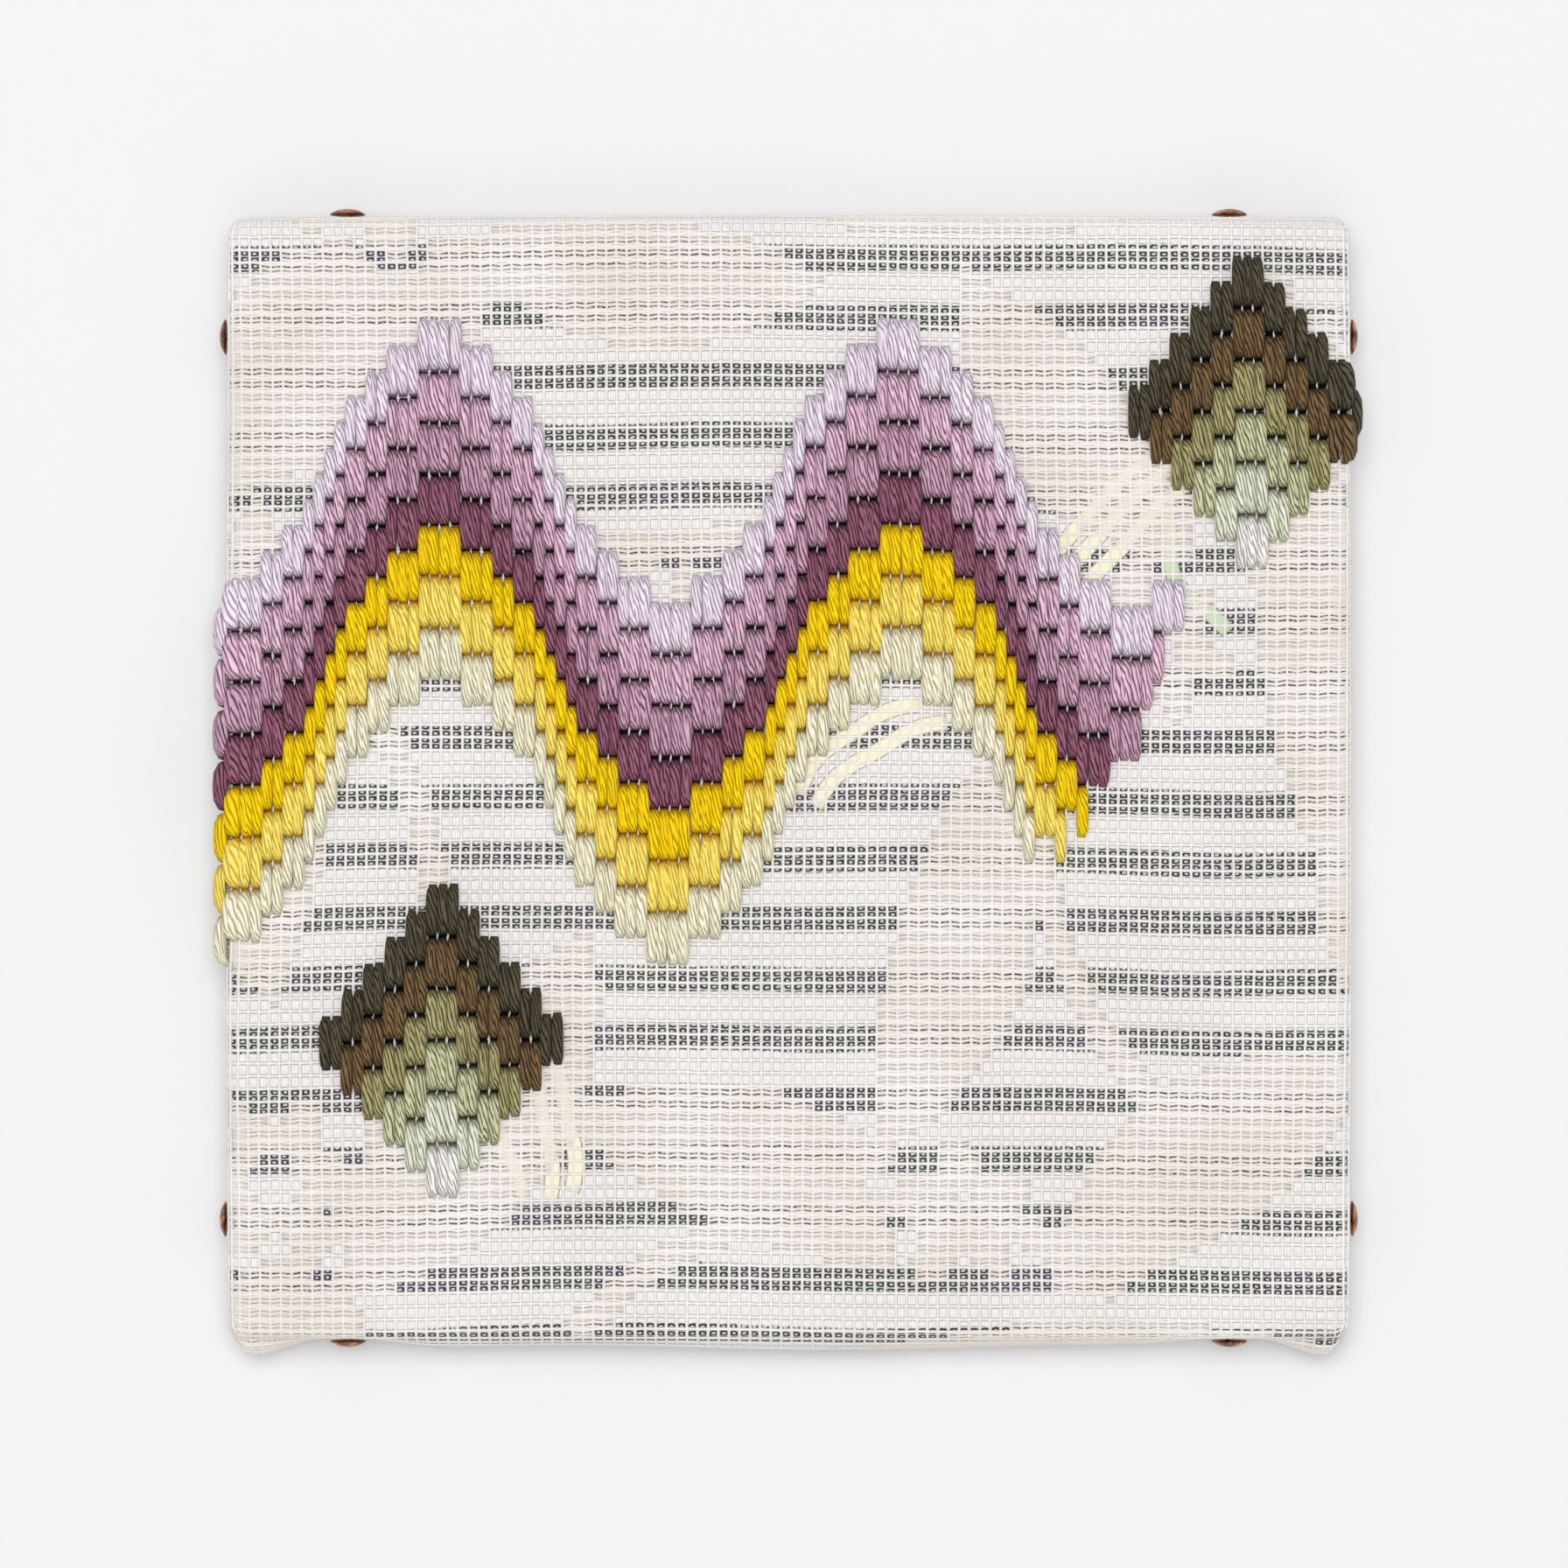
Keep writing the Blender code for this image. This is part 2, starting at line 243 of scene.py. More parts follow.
# A material round one Principled shader, whose steady values are set on its own sockets.
class Finish:
    def __init__(self, name, **steady):
        self.material = bpy.data.materials.new(name)
        self.material.use_nodes = True
        self.tree = self.material.node_tree
        self.shader = self.tree.nodes["Principled BSDF"]
        for socket, value in steady.items():
            self.shader.inputs[socket.replace("_", " ")].default_value = value

    def node(self, kind, settings, sockets, output=0):
        made = self.tree.nodes.new("ShaderNode" + kind)
        for setting, value in settings.items():
            if setting == "stops":
                self.setStops(made.color_ramp.elements, value)
            else:
                setattr(made, setting, value)
        for socket, value in sockets.items():
            self.feed(made.inputs[socket], value)
        return Wire(self, made.outputs[output])

    def setStops(self, elements, stops):
        while len(elements) < len(stops):
            elements.new(0.5)
        for element, (position, shade) in zip(elements, stops):
            element.position = position
            element.color = shade

    def feed(self, socket, value):
        if isinstance(value, Wire):
            self.tree.links.new(value.socket, socket)
        else:
            socket.default_value = value

    def split(self, vector):
        return [self.node("SeparateXYZ", {}, {0: vector}, axis) for axis in range(3)]

    def join(self, x, y, z=0.0):
        return self.node("CombineXYZ", {}, {0: x, 1: y, 2: z})

    def threadPlace(self):
        return self.split(self.node("UVMap", {"uv_map": "thread"}, {}))[:2]

    def objectPlace(self):
        return self.node("TexCoord", {}, {}, "Object")

    def noise(self, vector, scale, detail=2.0, roughness=0.5):
        sockets = {"Vector": vector, "Scale": scale, "Detail": detail, "Roughness": roughness}
        return self.node("TexNoise", {}, sockets)

    def blend(self, share, first, second):
        return self.node("Mix", {"data_type": "RGBA"}, {0: share, 6: first, 7: second}, 2)

    def ramp(self, value, *stops):
        return self.node("ValToRGB", {"stops": stops}, {0: value})

    # Joins up what varies over the surface: colour, roughness and a bump of this depth
    def close(self, colour, roughness=None, bump=None, depth=0.0001):
        self.feed(self.shader.inputs["Base Color"], colour)
        if roughness is not None:
            self.feed(self.shader.inputs["Roughness"], roughness)
        if bump is not None:
            sockets = {"Height": bump, "Distance": depth}
            self.feed(self.shader.inputs["Normal"], self.node("Bump", {}, sockets))
        return self.material


# A screen colour, 0 to 255, as the linear colour that a shader takes.
def tone(red, green, blue):
    screen = np.array([red, green, blue]) / 255
    linear = np.where(screen < 0.04045, screen / 12.92, ((screen + 0.055) / 1.055) ** 2.4)
    return (*linear.tolist(), 1.0)


# Ground cloth: white cotton with dark openwork stripes.
ground = {
    "half": 0.1452,           # half of the cut cloth
    "thickness": 0.0008,
    "stripePitch": 0.0138,
    "stripeCentre": -0.0049,  # height of one dark stripe's middle
    "meshAcross": 0.00240,    # the openwork's own small net
    "meshUp": 0.00148,
    "warpPitch": 0.00060,     # threads of the plain stripes
    "weftPitch": 0.00148,
    "bumpDepth": 0.00008,
    "faceSteps": 40,          # rows of points from the middle to the rim, round it and on the side
    "turnSteps": 8,
    "sideSteps": 6,
    "white": tone(243, 240, 238),
    "whiteShade": tone(224, 220, 219),
    "hole": tone(202, 201, 196),
    "darks": (tone(34, 57, 38), tone(40, 41, 40), tone(60, 42, 74)),
}


def groundFinish():
    cotton = Finish("ground_cotton", Roughness=0.9, Sheen_Weight=0.15)
    across, up = cotton.threadPlace()
    place = cotton.join(across, up)
    sway = cotton.noise(place, 14.0, 2.0) - 0.5
    fray = cotton.noise(place, 900.0, 2.0) - 0.5
    height = up + (sway * 0.0034 + fray * 0.0006) - ground["stripeCentre"]
    wave = (height * (2 * np.pi / ground["stripePitch"]) + np.pi / 2).sine()
    dark = wave.rise(0.10, 0.34)
    # Dark loops of the small net: a ring round each crossing of two sets of waves
    wobble = cotton.noise(place, 420.0, 1.0) - 0.5
    creep = cotton.noise(place, 26.0, 1.0) - 0.5
    sideways = across + wobble * 0.0009 + creep * 0.0011 + ground["meshAcross"] / 2
    upwards = up + wobble * 0.0007 - creep * 0.0012
    first = (sideways * (np.pi / ground["meshAcross"])).sine()
    second = (upwards * (np.pi / ground["meshUp"])).sine()
    loop = (1.0 - abs(abs(first * second) - 0.54) * 2.5).rise(0.06, 0.46)
    tint = cotton.ramp(cotton.noise(place, 55.0, 1.0), *zip((0.34, 0.5, 0.66), ground["darks"]))
    openwork = cotton.blend(loop, ground["hole"], tint)
    warp = (across * (2 * np.pi / ground["warpPitch"]) + wobble * 3.0).sine()
    weft = (up * (2 * np.pi / ground["weftPitch"]) + wobble * 3.0).sine()
    shade = (warp * 0.5 + weft * 0.12 + fray * 1.8 + 0.30).rise(-0.4, 0.9)
    plain = cotton.blend(shade, ground["whiteShade"], ground["white"])
    bump = shade * (1.0 - dark) + (1.0 - loop) * dark
    return cotton.close(cotton.blend(dark, plain, openwork), None, bump, ground["bumpDepth"])


# Distances along the cloth from edge to edge: steps on the face, on the turn and on the side.
def groundSteps():
    turnLength = (panel["rim"] + panel["groundOffset"]) * np.pi / 2
    turnSteps = ground["turnSteps"]
    face = np.linspace(0, panel["flat"], ground["faceSteps"] + 1)
    turn = panel["flat"] + turnLength * np.arange(1, turnSteps + 1) / turnSteps
    side = np.linspace(panel["flat"] + turnLength, ground["half"], ground["sideSteps"] + 1)[1:]
    upper = np.concatenate([face, turn, side])
    return np.concatenate([-upper[:0:-1], upper])


def makeGround():
    steps = groundSteps()
    up, across = np.meshgrid(steps, steps, indexing="ij")
    faces = gridFaces(len(steps), len(steps))
    driftedX, driftedZ = drifted(across, up)
    uv = np.stack([2 * across - driftedX, 2 * up - driftedZ], axis=-1).reshape(-1, 2)[faces]
    points = onPanel(across, up, panel["groundOffset"])
    piece = makePiece("ground_weave", points, [faces], groundFinish(),
                      ["ground_cloth"], uv)
    body = piece.modifiers.new("thickness", "SOLIDIFY")
    body.thickness = ground["thickness"]
    body.offset = 0.0


# Net lace: upright pillars of looped thread, level rungs, and cells filled with threads. The
# rungs lie halfway between the stitches' rows, so that two stitches meet inside a cell.
net = {
    "firstColumn": -8,
    "lastColumn": 115,
    "firstRow": -6,
    "lastRow": 93,
    "turnSteps": 6,            # places along a thread on the turn; none nearer to it than this
    "turnClear": 0.0006,
    "pillarSides": 4,
    "pillarWide": 0.00036,     # half-width along the cloth
    "pillarHigh": 0.00036,
    "pillarHeight": -0.00048,  # middle of the thread, off the lace's middle
    "pillarStray": 0.00010,
    "rungSides": 3,
    "rungWide": 0.00050,
    "rungHigh": 0.00020,
    "rungHeight": -0.00040,
    "fillSides": 4,
    "fillsInRow": 3.05,        # a little over three, so that the threads stay in their row
    "fillWide": 0.00040,
    "fillHigh": 0.00021,
    "fillHeight": -0.00047,
    "fillSlant": 0.00015,
    "fillStray": 0.00011,
    "white": tone(245, 242, 240),
    "whiteDeep": tone(237, 232, 229),
    "cream": tone(243, 237, 231),
    "creamDeep": tone(236, 225, 215),
}

# The lace's own figure, in millimetres from the centre: leaves (middle, length, width, turn
# in degrees, curl), rosettes (middle, radius, petals, turn) and stems (middle of the arc,
# radius, half of the width, first and last angle in degrees).
lacePattern = {
    "leaves": (
        (-104, 92, 96, 46, 34, 7), (-34, 118, 88, 30, -6, -5), (-120, 6, 118, 40, 92, 6),
        (-66, 34, 92, 30, -34, 6), (-78, -78, 108, 40, 52, -7), (-4, -96, 104, 34, -20, 6),
        (34, -40, 96, 32, 76, -6), (98, -92, 92, 36, 36, 6), (118, 30, 112, 34, 98, -6),
        (66, 84, 84, 32, 128, 5), (52, 132, 90, 24, 6, 4), (70, -138, 120, 22, 2, 3),
        (-130, -132, 70, 44, 12, 4), (138, -20, 60, 24, 70, 4),
    ),
    "rosettes": (
        (-14, 30, 22, 5, 20), (-118, -92, 21, 6, 0), (84, 30, 18, 6, 12), (40, -100, 18, 5, 50),
        (112, 96, 21, 6, 30), (-96, 140, 22, 5, 0),
    ),
    "stems": (
        (-40, 170, 118, 3.6, 205, 300), (-176, -40, 96, 3.4, -58, 44),
        (150, -10, 92, 3.4, 120, 232), (20, -190, 92, 3.6, 52, 138),
    ),
}


# Whether a cell is filled. A leaf's half-width falls off nearly as one minus the square of
# the distance along it, about a middle line that curls the same way. A rosette's edge waves
# with the cosine of its petals, with an open eye and an open border.
def figure(across, up):
    x = across * 1000
    z = up * 1000
    filled = np.zeros(x.shape, bool)
    for middleX, middleZ, length, width, turn, curl in lacePattern["leaves"]:
        angle = np.radians(turn)
        along = (x - middleX) * np.cos(angle) + (z - middleZ) * np.sin(angle)
        off = (z - middleZ) * np.cos(angle) - (x - middleX) * np.sin(angle)
        falling = 1 - (2 * along / length) ** 2
        edge = width / 2 * np.maximum(falling, 0) ** 0.9
        filled |= np.abs(off - curl * falling) < edge
    for middleX, middleZ, radius, petals, turn in lacePattern["rosettes"]:
        distance = np.hypot(x - middleX, z - middleZ)
        angle = np.arctan2(z - middleZ, x - middleX) + np.radians(turn)
        edge = radius * (0.80 + 0.20 * np.cos(petals * angle))
        petal = (distance < edge) & (distance > 0.26 * radius)
        filled = np.where(distance < edge + 4.5, petal, filled)
    for middleX, middleZ, radius, half, first, last in lacePattern["stems"]:
        distance = np.hypot(x - middleX, z - middleZ)
        angle = np.degrees(np.arctan2(z - middleZ, x - middleX))
        between = (angle - first) % 360 < last - first
        filled |= (np.abs(distance - radius) < half) & between
    return filled


def threadFinish(name, light, deep):
    thread = Finish(name, Roughness=0.82, Sheen_Weight=0.2)
    place = thread.objectPlace()
    patch = thread.noise(place, 34.0, 3.0)
    fibre = thread.noise(place, 2600.0, 3.0, 0.7)
    colour = thread.blend((patch * 0.7 + fibre * 0.3).rise(0.36, 0.64), deep, light)
    return thread.close(colour, None, fibre, 0.00010)


def clothPath(across, up, height):
    across, up = drifted(across, up)
    return np.stack(np.broadcast_arrays(across, up, height), axis=-1)


# Places along a thread: the net's own edges on the face and sides, closer on the turn.
def threadSteps(edges):
    start = panel["flat"]
    end = start + (panel["rim"] + panel["laceOffset"]) * np.pi / 2
    turn = np.linspace(start, end, net["turnSteps"])
    clear = net["turnClear"]
    kept = edges[(np.abs(edges) < start - clear) | (np.abs(edges) > end + clear)]
    return np.sort(np.concatenate([kept, turn, -turn]))


def makeNet(finish):
    columns = columnEdge(np.arange(net["firstColumn"], net["lastColumn"] + 1))
    rows = np.sort(rowEdge(np.arange(net["firstRow"], net["lastRow"] + 1) + 0.5))
    ups = threadSteps(rows)
    acrosses = threadSteps(columns)
    stray = chance.uniform(-1, 1, (len(columns), len(ups))) * net["pillarStray"]
    pillars = carried(clothPath(columns[:, None] + stray, ups[None], net["pillarHeight"]),
                      net["pillarWide"], net["pillarHigh"], net["pillarSides"],
                      panel["laceOffset"])
    stray = chance.uniform(-1, 1, (len(rows), len(acrosses))) * net["pillarStray"]
    rungs = carried(clothPath(acrosses[None], rows[:, None] + stray, net["rungHeight"]),
                    net["rungWide"], net["rungHigh"], net["rungSides"], panel["laceOffset"])
    pillarIndex = np.arange(pillars[..., 0].size).reshape(pillars.shape[:3])
    rungIndex = pillarIndex.size + np.arange(rungs[..., 0].size).reshape(rungs.shape[:3])
    points = np.concatenate([pillars.reshape(-1, 3), rungs.reshape(-1, 3)])
    faces = tubeFaces(pillarIndex) + tubeFaces(rungIndex)
    return makePiece("lace_net", points, faces, finish, ["net_lace"])


# Three slanting threads in every row of cells, kept only where the figure fills the cell.
def makeFills(finish):
    columns = columnEdge(np.arange(net["firstColumn"], net["lastColumn"] + 1))
    rows = rowEdge(np.arange(net["firstRow"] + 1, net["lastRow"] + 1))
    middles = (columns[1:] + columns[:-1]) / 2
    filled = figure(*np.meshgrid(middles, rows))
    third = panel["row"] / net["fillsInRow"]
    offsets = np.array([-third, 0, third])
    zigzag = np.where(np.arange(len(columns)) % 2, 1, -1) * net["fillSlant"]
    ups = rows[:, None, None] + offsets[None, :, None] + zigzag
    ups = ups + chance.uniform(-1, 1, ups.shape) * net["fillStray"]
    ups = ups.reshape(-1, len(columns))
    rings = carried(clothPath(columns[None], ups, net["fillHeight"]),
                    net["fillWide"], net["fillHigh"], net["fillSides"], panel["laceOffset"])
    index = np.arange(rings[..., 0].size).reshape(rings.shape[:3])
    after = np.roll(index, -1, axis=2)
    used = np.repeat(filled, 3, axis=0)
    walls = np.stack([index[:, :-1], index[:, 1:], after[:, 1:], after[:, :-1]], axis=-1)
    bordered = np.pad(used, ((0, 0), (1, 1)))
    starts = index[bordered[:, 1:] & ~bordered[:, :-1]]
    ends = index[bordered[:, :-1] & ~bordered[:, 1:]][:, ::-1]
    faces = np.concatenate([walls[used].reshape(-1, 4), starts, ends])
    kept, faces = np.unique(faces, return_inverse=True)
    print(f"  filled share of the lace {filled.mean():.2f}")
    points = rings.reshape(-1, 3)[kept]
    return makePiece("lace_fill", points, [faces.reshape(-1, 4)], finish)


def makeLace():
    netPiece = makeNet(threadFinish("lace_thread", net["white"], net["whiteDeep"]))
    fillPiece = makeFills(threadFinish("lace_fill_thread", net["cream"], net["creamDeep"]))


# Wool stitches, each one column wide and four rows long.
wool = {
    "sides": 8,
    "stitchRows": 4,
    "stepRows": 2,
    "overlap": 0.00008,       # how far a stitch's end reaches past its row
    "places": (-1, -0.90, -0.80, -0.52, 0, 0.52, 0.80, 0.90, 1),
    "arches": (0, 0.10, 0.62, 0.92, 1, 0.92, 0.62, 0.10, 0),
    "endHeight": -0.00036,    # off the lace's middle
    "crownHeight": 0.00182,
    "endWide": 0.00096,
    "middleWide": 0.00137,
    "endHigh": 0.00040,
    "middleHigh": 0.00108,
    "squareness": 0.68,
    "plies": 9,
    "turns": 0.84,            # turns of the plies along one stitch
    "numberSpacing": 8,       # each stitch's first coordinate starts this much past the last one's
    "alongSpan": 0.998,       # the second one runs from 0 to this, short of the next code
    "bumpDepth": 0.00034,
    "stray": 0.00016,
    "flameRise": (3, 2, 2, 1, 1, 1, 1, 2, 2, 3),
    "flameTurn": 4,
    "flameFirstColumn": -4,
    "flamePeakRow": 8,
    "flameCourses": (("lilac", 90), ("light_mauve", 88), ("mauve", 86), ("plum", 83),
                     ("gold", 81), ("yellow", 79), ("cream", 76)),
    "lozengeCourses": ("dark_green", "brown", "mid_green", "light_green", "pale_green", "white"),
    "lozenges": (("lozenge_left", 20, 52), ("lozenge_right", 97, 3)),
}

# Each wool's colours: painted shade between plies, the plies' own, and a painted highlight
woolColours = {
    "lilac": (tone(160, 134, 162), tone(226, 204, 226), tone(254, 244, 252)),
    "light_mauve": (tone(92, 48, 74), tone(186, 136, 166), tone(246, 208, 230)),
    "mauve": (tone(70, 34, 54), tone(154, 104, 132), tone(222, 178, 202)),
    "plum": (tone(30, 8, 18), tone(98, 44, 66), tone(164, 104, 128)),
    "gold": (tone(196, 136, 0), tone(254, 200, 0), tone(255, 228, 0)),
    "yellow": (tone(218, 166, 20), tone(255, 218, 40), tone(255, 242, 130)),
    "cream": (tone(186, 168, 118), tone(243, 232, 188), tone(255, 253, 232)),
    "dark_green": (tone(5, 4, 1), tone(29, 24, 13), tone(96, 88, 68)),
    "brown": (tone(14, 7, 2), tone(50, 34, 15), tone(132, 106, 70)),
    "mid_green": (tone(44, 38, 12), tone(118, 110, 62), tone(184, 176, 124)),
    "light_green": (tone(80, 78, 42), tone(160, 162, 114), tone(220, 220, 180)),
    "pale_green": (tone(124, 128, 96), tone(202, 207, 176), tone(244, 246, 228)),
    "white": (tone(158, 150, 138), tone(232, 229, 220), tone(255, 254, 250)),
}


# Plies wind round the stitch at an uneven rate: thin dark lines of painted shade come and go
# between them, with a painted highlight on their backs and fine fibres along them. Painted
# shade darkens an end that meets another stitch. The second coordinate is the place along the
# stitch plus twice a code: 1 if the upper end is free, and 2 more if the lower one is.
def woolFinish(colourName):
    grooveShade, body, paintedGlint = woolColours[colourName]
    # Painted shade for ends that meet another stitch: the groove colour, darkened less for pale
    # wools.
    endShadeDimming = min(1.0, 0.42 + 1.6 * grooveShade[1])
    depth = tuple(channel * endShadeDimming for channel in grooveShade[:3]) + (1.0,)
    yarn = Finish(f"wool_{colourName}", Roughness=0.7, Specular_IOR_Level=0.18)
    around, coded = yarn.threadPlace()
    code = (coded / 2).floor()
    along = coded - code * 2
    freeBelow = (code / 2).floor()
    freeAbove = code - freeBelow * 2
    number = (around / wool["numberSpacing"]).floor()
    own = yarn.node("TexWhiteNoise", {"noise_dimensions": "1D"}, {"W": number})
    stray = yarn.noise(yarn.join(around * 2.6, along * 2.8, number * 3.7), 1.0, 1.0) - 0.5
    twist = (around - along * (wool["turns"] - 0.15 + own * 0.30) + stray * 0.26) * wool["plies"]
    ply = abs((twist * np.pi).sine())
    fibre = yarn.noise(yarn.join(twist * 2.6, along * 2.6, number), 1.0, 4.0, 0.75)
    passing = yarn.noise(yarn.join((twist + 0.5).floor() * 5.3, along * 3.4, number), 1.0, 1.0)
    # Painted shade: thin dark lines of the groove colour between the plies, coming and going.
    grooveShadeLine = (1.0 - ply).rise(0.34, 0.90) * passing.rise(0.28, 0.54)
    # Painted highlight: the colour rises to the glint where plies and fibres stand high.
    shade = ply * 0.42 + fibre * 1.7 + passing * 0.5 + (own - 0.5) * 0.10
    colour = yarn.blend(shade.rise(0.82, 1.72), yarn.blend(0.54, grooveShade, body), paintedGlint)
    colour = yarn.blend(grooveShadeLine * 0.88, colour, grooveShade)
    # Painted shade: towards an end that meets another stitch the colour blends to that darkened
    # groove colour.
    above = freeAbove + (1.0 - freeAbove) * along.rise(0.14, 0.38)
    below = freeBelow + (1.0 - freeBelow) * (1.0 - along.rise(0.66, 0.88))
    colour = yarn.blend(above * below, depth, colour)
    height = (1.0 - grooveShadeLine) * 0.55 + ply * 0.22 + fibre * 0.75
    return yarn.close(colour, None, height, wool["bumpDepth"])


# Stitches as closed tubes. Each ring has a place along the stitch, from -1 to 1 times its
# half-length, and rises, widens and thickens by its share of the arch: low at both ends,
# where the yarn goes down through the lace, then steep, then nearly level.
def makeStitches(name, columns, topRows, finish, freeAbove, freeBelow):
    count = len(columns)
    share = np.array(wool["places"])
    arch = np.array(wool["arches"])
    stray = chance.uniform(-1, 1, (6, count, 1)) * wool["stray"]
    halfLength = wool["stitchRows"] * panel["row"] / 2 + wool["overlap"] + stray[0]
    across = columnEdge(columns + 0.5)[:, None] + stray[1] + stray[2] * share
    up = rowEdge(topRows + wool["stitchRows"] / 2)[:, None] + stray[3] - halfLength * share
    crown = wool["crownHeight"] + stray[4]
    height = wool["endHeight"] + (crown - wool["endHeight"]) * arch
    wide = wool["endWide"] + (wool["middleWide"] - wool["endWide"] + stray[5] * 0.4) * arch
    high = wool["endHigh"] + (wool["middleHigh"] - wool["endHigh"]) * arch
    path = clothPath(across, up, height)
    points = carried(path, wide, high, wool["sides"], panel["laceOffset"], wool["squareness"])
    index = np.arange(points[..., 0].size).reshape(points.shape[:3])
    walls, caps = tubeUv(count, len(share), wool["sides"])
    phase = wool["numberSpacing"] * np.arange(1, count + 1) + chance.uniform(0, 1, count)
    walls[..., 0] += phase[:, None, None, None]
    caps[..., 0] += phase[:, None]
    # Which ends stay free of the finish's painted end shade: those that meet no other stitch.
    code = 2.0 * (1 * freeAbove + 2 * freeBelow)
    walls[..., 1] = walls[..., 1] * wool["alongSpan"] + code[:, None, None, None]
    caps[..., 1] = caps[..., 1] * wool["alongSpan"] + code[:, None]
    uv = np.concatenate([walls.reshape(-1, 2), caps.reshape(-1, 2)])
    return makePiece(f"stitches_{name}", points, tubeFaces(index), finish,
                     [name], uv)


# Flame band: the step of each column, from a valley up to a peak and back, repeated.
def flameSteps(columns):
    rise = wool["flameRise"]
    steps = np.arange(1, len(rise) + 1)
    widths = [wool["flameTurn"], *rise, wool["flameTurn"], *rise[::-1]]
    levels = [0, *steps, len(rise) + 1, *steps[::-1]]
    wave = np.repeat(levels, widths)
    return wave[(columns - wool["flameFirstColumn"]) % len(wave)]


def makeWool():
    finishes = {colourName: woolFinish(colourName) for colourName in woolColours}
    top = len(wool["flameRise"]) + 1
    lasts = [lastColumn for _, lastColumn in wool["flameCourses"]]
    lasts.append(wool["flameFirstColumn"] - 1)
    for index, (colourName, lastColumn) in enumerate(wool["flameCourses"]):
        columns = np.arange(wool["flameFirstColumn"], lastColumn + 1)
        drop = (top - flameSteps(columns)) * wool["stepRows"] + index * wool["stitchRows"]
        makeStitches(f"flame_{colourName}", columns, wool["flamePeakRow"] + drop,
                     finishes[colourName], np.full(len(columns), index == 0),
                     columns > lasts[index + 1])
    for name, middleColumn, topRow in wool["lozenges"]:
        for index, colourName in enumerate(wool["lozengeCourses"]):
            reach = 2 * (len(wool["lozengeCourses"]) - 1 - index) + 1
            offsets = np.arange(-reach, reach + 1)
            rows = topRow + np.abs(offsets) // 2 * wool["stepRows"] + index * wool["stitchRows"]
            makeStitches(f"{name}_{colourName}", middleColumn + offsets, rows,
                         finishes[colourName], np.full(len(offsets), index == 0),
                         np.abs(offsets) > reach - 2)


# Loose yarn carried behind the lace from one part of the needlework to the next: both ends,
# in millimetres from the centre, the sag of the curve between them, and the colour.
trails = {
    "wide": 0.0019,
    "high": 0.00010,
    "height": -0.00053,
    "sides": 8,
    "points": 15,
    "wander": 0.8,             # millimetres of a small wave along the curve, and its radians
    "wanderTurns": 9,
    "alongSpan": 0.9,          # the wool finish's second coordinate, with both ends free
    "alongStart": 6,
    "runs": (
        (54, 36, 88, 76, 6, "cream"), (57, 34, 91, 73, 5, "cream"), (60, 31, 95, 70, 4, "cream"),
        (-58, -60, -50, -96, 4, "cream"), (-62, -58, -55, -98, 3, "cream"),
        (-66, -57, -61, -97, -3, "cream"), (-88, -70, -72, -40, 4, "light_green"),
        (86, 64, 100, 34, -5, "pale_green"), (2, -4, 30, 16, 5, "cream"), (6, -7, 36, 12, 4, "cream"),
    ),
}


def makeTrails():
    grouped = {}
    for startX, startZ, endX, endZ, sag, colourName in trails["runs"]:
        share = np.linspace(0, 1, trails["points"])
        run = np.array([endX - startX, endZ - startZ])
        normal = np.array([-run[1], run[0]]) / np.hypot(*run)
        curve = np.array([startX, startZ]) + share[:, None] * run
        bent = sag * np.sin(np.pi * share) + trails["wander"] * np.sin(trails["wanderTurns"] * share)
        curve = curve + normal * bent[:, None]
        grouped.setdefault(colourName, []).append(curve / 1000)
    for colourName, curves in grouped.items():
        curves = np.array(curves)
        path = clothPath(curves[..., 0], curves[..., 1], trails["height"])
        points = carried(path, trails["wide"], trails["high"], trails["sides"], panel["laceOffset"])
        index = np.arange(points[..., 0].size).reshape(points.shape[:3])
        walls, caps = tubeUv(len(curves), path.shape[1], trails["sides"])
        walls[..., 1] = walls[..., 1] * trails["alongSpan"] + trails["alongStart"]
        uv = np.concatenate([walls.reshape(-1, 2), caps.reshape(-1, 2)])
        finish = bpy.data.materials[f"wool_{colourName}"]
        makePiece(f"yarn_trail_{colourName}", points, tubeFaces(index), finish,
                  (), uv)


# Copper tacks: a low domed head, hammered a little, on a tapered shank.
tack = {
    "headRadius": 0.0041,
    "headRise": 0.0015,
    "shankRadius": 0.0008,
    "length": 0.0120,
    "sides": 28,
    "bright": tone(216, 158, 118),
    "worn": tone(146, 92, 56),
    "dull": tone(62, 40, 24),
}


def copperFinish():
    copper = Finish("tack_copper", Metallic=1.0)
    place = copper.objectPlace()
    patina = copper.noise(place, 420.0, 4.0, 0.6)
    dent = copper.noise(place, 900.0, 2.0)
    colour = copper.ramp(patina, (0.34, tack["dull"]), (0.5, tack["worn"]), (0.64, tack["bright"]))
    return copper.close(colour, 0.24 + patina * 0.34, dent, 0.00018)


